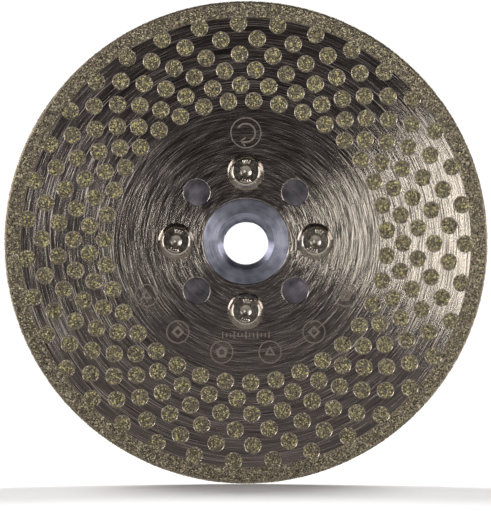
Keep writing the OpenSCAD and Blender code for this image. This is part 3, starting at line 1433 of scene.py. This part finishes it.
@dataclass
class LaserMarks:
    """Generic marks in the bare steel: six plain badges, a direction arrow and a row of ticks."""

    sizes: WheelSizes
    line: float = 0.3
    thickness: float = 0.02
    badge_r: float = 2.85
    badge_circle_r: float = 29.3
    badge_step: float = 24.6
    arrow_y: float = 28.2
    arrow_r: float = 3.9
    tick_y: float = -24.2

    def strip(self, path: np.ndarray, width: float | None = None, closed: bool = False) -> np.ndarray:
        """A thin bar along a flat path.

        Each point of the path gets four corners: left and right of it, by half the width
        along the path's normal, below and above the marked surface.

        Args:
            path: Points by 2.
            width: Width of the bar, or the usual line width.
            closed: True where the path's end joins its start.

        Returns:
            A grid of 4 by points by 3 that closes round the bar.
        """
        half = (self.line if width is None else width) / 2
        ahead = np.roll(path, -1, axis=0) - np.roll(path, 1, axis=0)
        if not closed:
            ahead[0], ahead[-1] = path[1] - path[0], path[-1] - path[-2]
        ahead /= np.linalg.norm(ahead, axis=1, keepdims=True)
        normal = np.stack([-ahead[:, 1], ahead[:, 0]], axis=-1) * half
        low, high = self.sizes.face_z - 0.01, self.sizes.face_z + self.thickness
        corners = [(path + normal, low), (path - normal, low), (path - normal, high), (path + normal, high)]
        return np.stack([np.column_stack([flat, np.full(len(flat), z)]) for flat, z in corners])

    def add_strip(
        self, shell: Shell, path: np.ndarray, width: float | None = None, closed: bool = False
    ) -> None:
        """Adds a bar along a path to a shell, with its ends shut.

        Args:
            shell: The shell that gets it.
            path: Points by 2.
            width: Width of the bar, or the usual line width.
            closed: True where the path's end joins its start.
        """
        grid = self.strip(path, width, closed)
        rows, columns = grid.shape[:2]
        faces = quads(rows, columns, ring=True, closed=closed)
        if not closed:
            first = np.arange(rows) * columns
            faces = np.concatenate([faces, [first], [first[::-1] + columns - 1]])
        shell.add(grid.reshape(-1, 3), faces)

    def arc(
        self, centre: tuple[float, float], radius: float, start: float, end: float, steps: int = 48
    ) -> np.ndarray:
        """Points along a circular arc: the centre plus the radius times (cos a, sin a).

        Args:
            centre: The arc's centre.
            radius: Its radius.
            start: Its first angle, in degrees.
            end: Its last angle, in degrees.
            steps: Number of points.

        Returns:
            Points by 2.
        """
        angle = np.radians(np.linspace(start, end, steps))
        return np.array(centre) + radius * np.stack([np.cos(angle), np.sin(angle)], axis=-1)

    def badges(self, shell: Shell) -> None:
        """Six rings with plain shapes of three, four and five corners inside.

        Args:
            shell: The shell that gets them.
        """
        for number in range(6):
            angle = math.radians(270 + (number - 2.5) * self.badge_step)
            centre = (self.badge_circle_r * math.cos(angle), self.badge_circle_r * math.sin(angle))
            circle = self.arc(centre, self.badge_r, 0, 352.5, 48)
            self.add_strip(shell, circle, closed=True)
            corners = number % 3 + 3
            inner = self.arc(centre, 1.25, 90, 90 + 360 * (1 - 1 / corners), corners)
            self.add_strip(shell, inner, 0.9, closed=True)

    def arrow(self, shell: Shell) -> None:
        """A ring with a curved arrow inside that shows a direction of rotation.

        Args:
            shell: The shell that gets them.
        """
        centre = (0.0, self.arrow_y)
        self.add_strip(shell, self.arc(centre, self.arrow_r, 0, 352.5, 48), closed=True)
        inner = self.arrow_r - 1.5
        self.add_strip(shell, self.arc(centre, inner, 150, -110, 30), 0.45)
        tip = self.arc(centre, inner, -122, -122.1, 2)[0]
        for reach in (1.1, -1.1):
            barb = self.arc(centre, inner + reach, -92, -92.1, 2)[0]
            self.add_strip(shell, np.linspace(barb, tip, 4), 0.4)

    def ticks(self, shell: Shell) -> None:
        """A row of short strokes, every third one taller.

        Args:
            shell: The shell that gets them.
        """
        for number in range(13):
            x = (number - 6) * 1.0
            tall = 0.9 if number % 3 == 0 else 0.55
            self.add_strip(shell, np.array([[x, self.tick_y - tall], [x, self.tick_y + tall]]), 0.32)

    def build(self, finish: Material) -> Piece:
        """Makes all the marks as one thin piece.

        Args:
            finish: The laser-marked steel.

        Returns:
            The new piece.
        """
        shell = Shell()
        self.badges(shell)
        self.arrow(shell)
        self.ticks(shell)
        return shell.build("laser_marks", [finish], "blank_steel")


# ---------------------------------------------------------------- stage


@dataclass
class Studio:
    """Camera, floor, lights and surroundings.

    Attributes:
        distance: From the wheel's middle to the camera, in metres.
        below_axis_deg: How far the camera stands below the wheel's axis, seen from its middle.
        frame_height_mm: Height of what it sees at the wheel.
        aim_below_mm: How far under the wheel's middle it aims.
        aim_left_mm: How far left of it.
        sensor_mm: Size of its sensor.
        floor_room_mm: Room under the wheel's outline for the grains that stand proud of it.
    """

    sizes: WheelSizes
    distance: float = 0.75
    below_axis_deg: float = 2.7
    frame_height_mm: float = 132.4
    aim_below_mm: float = 3.6
    aim_left_mm: float = 0.1
    sensor_mm: float = 36.0
    floor_room_mm: float = 0.2

    def camera(self) -> None:
        """Puts the camera a little below the wheel's axis, looking along +Y and a little up."""
        data = bpy.data.cameras.new("camera")
        data.sensor_width = self.sensor_mm
        data.lens = self.sensor_mm * self.distance / (self.frame_height_mm * MM)
        data.clip_start, data.clip_end = 0.05, 20.0
        camera = bpy.data.objects.new("camera", data)
        lean = math.radians(self.below_axis_deg)
        camera.location = (
            -self.aim_left_mm * MM,
            -self.distance * math.cos(lean),
            -self.distance * math.sin(lean) - self.aim_below_mm * MM,
        )
        camera.rotation_euler = (math.pi / 2 + lean, 0.0, 0.0)
        bpy.context.scene.collection.objects.link(camera)
        bpy.context.scene.camera = camera

    def floor(self) -> None:
        """A pale matt floor that the wheel's edge stands on. Metal doesn't mirror it."""
        reach, columns = 6.0, 64
        angle = math.tau * np.arange(columns) / columns
        z = -(self.sizes.outer_r + self.floor_room_mm) * MM
        ring = np.stack([reach * np.cos(angle), reach * np.sin(angle), np.full(columns, z)], axis=-1)
        mesh = bpy.data.meshes.new("floor")
        mesh.from_pydata(ring.tolist(), [], [list(range(columns))])
        material = bpy.data.materials.new("white_paper")
        material.use_nodes = True
        shader = material.node_tree.nodes["Principled BSDF"]
        shader.inputs["Base Color"].default_value = linear("c4c4c4")
        shader.inputs["Roughness"].default_value = 0.9
        shader.inputs["Specular IOR Level"].default_value = 0.0
        mesh.materials.append(material)
        floor = bpy.data.objects.new("floor", mesh)
        floor.visible_glossy = False
        bpy.context.scene.collection.objects.link(floor)

    def softbox(
        self,
        name: str,
        place: tuple[float, float, float],
        size: tuple[float, float],
        watts: float,
        colour: str,
        matt: bool = True,
    ) -> None:
        """A rectangular lamp that faces the wheel.

        Args:
            name: The lamp's name.
            place: Its centre, in metres.
            size: Width and height, in metres.
            watts: Its power.
            colour: Its sRGB hex value.
            matt: False where it only shows in gloss and leaves matt surfaces unlit.
        """
        data = bpy.data.lights.new(name, "AREA")
        data.shape = "RECTANGLE"
        data.size, data.size_y = size
        data.energy = watts
        data.color = linear(colour)[:3]
        lamp = bpy.data.objects.new(name, data)
        lamp.location = place
        aim = -np.array(place)
        flat = math.hypot(aim[0], aim[1])
        lamp.rotation_euler = (math.atan2(flat, -aim[2]), 0.0, math.atan2(aim[1], aim[0]) - math.pi / 2)
        lamp.visible_diffuse = matt
        bpy.context.scene.collection.objects.link(lamp)

    def overhead(self, name: str, tilt: float, turn: float, spread: float, strength: float) -> None:
        """A distant soft lamp that lights the floor and isn't mirrored in metal.

        Args:
            name: The lamp's name.
            tilt: Degrees from straight overhead, towards the back.
            turn: Degrees round the upright axis from there, towards the left.
            spread: How wide the lamp looks, in degrees.
            strength: Its irradiance.
        """
        data = bpy.data.lights.new(name, "SUN")
        data.energy = strength
        data.angle = math.radians(spread)
        lamp = bpy.data.objects.new(name, data)
        lamp.rotation_euler = (math.radians(-tilt), 0.0, math.radians(turn))
        lamp.visible_glossy = False
        bpy.context.scene.collection.objects.link(lamp)

    def lights(self) -> None:
        """A key beside the camera, two soft fills, a panel at each side, and high lamps for the floor."""
        self.softbox("key_right", (0.195, -0.80, 0.063), (0.085, 0.19), 0.40, "fffcf0")
        self.softbox("fill_left", (-0.53, -0.555, 0.25), (0.36, 0.35), 2.5, "fff5f6")
        self.softbox("fill_right", (0.65, -0.38, 0.27), (0.4, 0.35), 1.5, "fff5f6")
        self.softbox("side_right", (0.62, 0.20, 0.02), (0.8, 0.6), 3.6, "fffaf4", matt=False)
        self.softbox("side_left", (-0.62, 0.20, 0.02), (0.8, 0.6), 3.6, "fffaf4", matt=False)
        self.softbox("rear_left", (-0.30, 0.70, 0.20), (0.3, 0.3), 1.2, "fff4e6")
        for side, sign in (("left", 1), ("right", -1)):
            self.overhead(f"rear_high_{side}", tilt=61, turn=30 * sign, spread=30, strength=5.0)
            self.overhead(f"side_high_{side}", tilt=30, turn=70 * sign, spread=40, strength=0.6)

    def surroundings(self) -> None:
        """A dim room for reflections, lighter below and behind the wheel, and a white background.

        The room's tone follows the direction's height, and its depth mixes in the back walls.
        """
        world = bpy.data.worlds.new("studio")
        bpy.context.scene.world = world
        world.use_nodes = True
        tree = world.node_tree
        tree.nodes.clear()
        towards = put(tree, "ShaderNodeTexCoord").outputs["Generated"]
        parts = put(tree, "ShaderNodeSeparateXYZ", {0: towards}).outputs
        low_to_high = {"Value": parts["Z"], "From Min": -0.6, "From Max": 0.1}
        band = put(tree, "ShaderNodeMapRange", low_to_high).outputs[0]
        tones = ((0.0, "c8c4c0"), (0.55, "857f7d"), (0.793, "857f7d"), (0.921, "2b2829"))
        shade = put(tree, "ShaderNodeValToRGB", {"Fac": band}, tones).outputs["Color"]
        near_to_far = {"Value": parts["Y"], "From Min": 0.4, "From Max": 0.65}
        depth = put(tree, "ShaderNodeMapRange", near_to_far).outputs[0]
        mix = {"Factor": depth, 6: shade, 7: linear("b4b0aa")}
        walls = put(tree, "ShaderNodeMix", mix, data_type="RGBA").outputs[2]
        room = put(tree, "ShaderNodeBackground", {"Color": walls, "Strength": 1.0}).outputs[0]
        white = {"Color": (1.0, 1.0, 1.0, 1.0), "Strength": 1.05}
        backdrop = put(tree, "ShaderNodeBackground", white).outputs[0]
        seen = put(tree, "ShaderNodeLightPath").outputs["Is Camera Ray"]
        mixed = put(tree, "ShaderNodeMixShader", {0: seen, 1: room, 2: backdrop})
        put(tree, "ShaderNodeOutputWorld", {"Surface": mixed.outputs[0]})
        bpy.context.scene.view_settings.view_transform = "Standard"

    def build(self) -> None:
        """Sets the whole stage."""
        self.camera()
        self.floor()
        self.lights()
        self.surroundings()


def main() -> None:
    """Builds the stage, then each sub-assembly in order."""
    logging.basicConfig(level=logging.INFO, format="%(name)s: %(message)s")
    sizes = WheelSizes()
    Studio(sizes).build()
    steel = TurnedSteel().material()
    zinc = ZincPlatedSteel().material()
    # Darker zinc for the flange plate: painted shade for its recess, seen through the wheel's holes.
    zinc_with_painted_shade = ZincPlatedSteel("dull_zinc_plated_steel", metallic=0.97, dark="626068", light="9a97a2")
    nickel = NickelPlate().material()
    drilled_nickel = NickelPlate("drilled_nickel", roughness=0.3).material()
    SteelBlank(sizes).build(steel)
    MountingFlange(sizes).build(zinc, zinc_with_painted_shade.material())
    for side in Side:
        FlangeScrew(side, sizes.face_z).build(nickel, drilled_nickel)
    layer = PlatedLayer(sizes)
    layer.dress(PlatedBond().material())
    layer.build_lips(SmoothNickel().material())
    GrainField(sizes).build(DiamondGrain().material())
    LaserMarks(sizes).build(LaserMark().material())


if __name__ == "__main__":
    main()
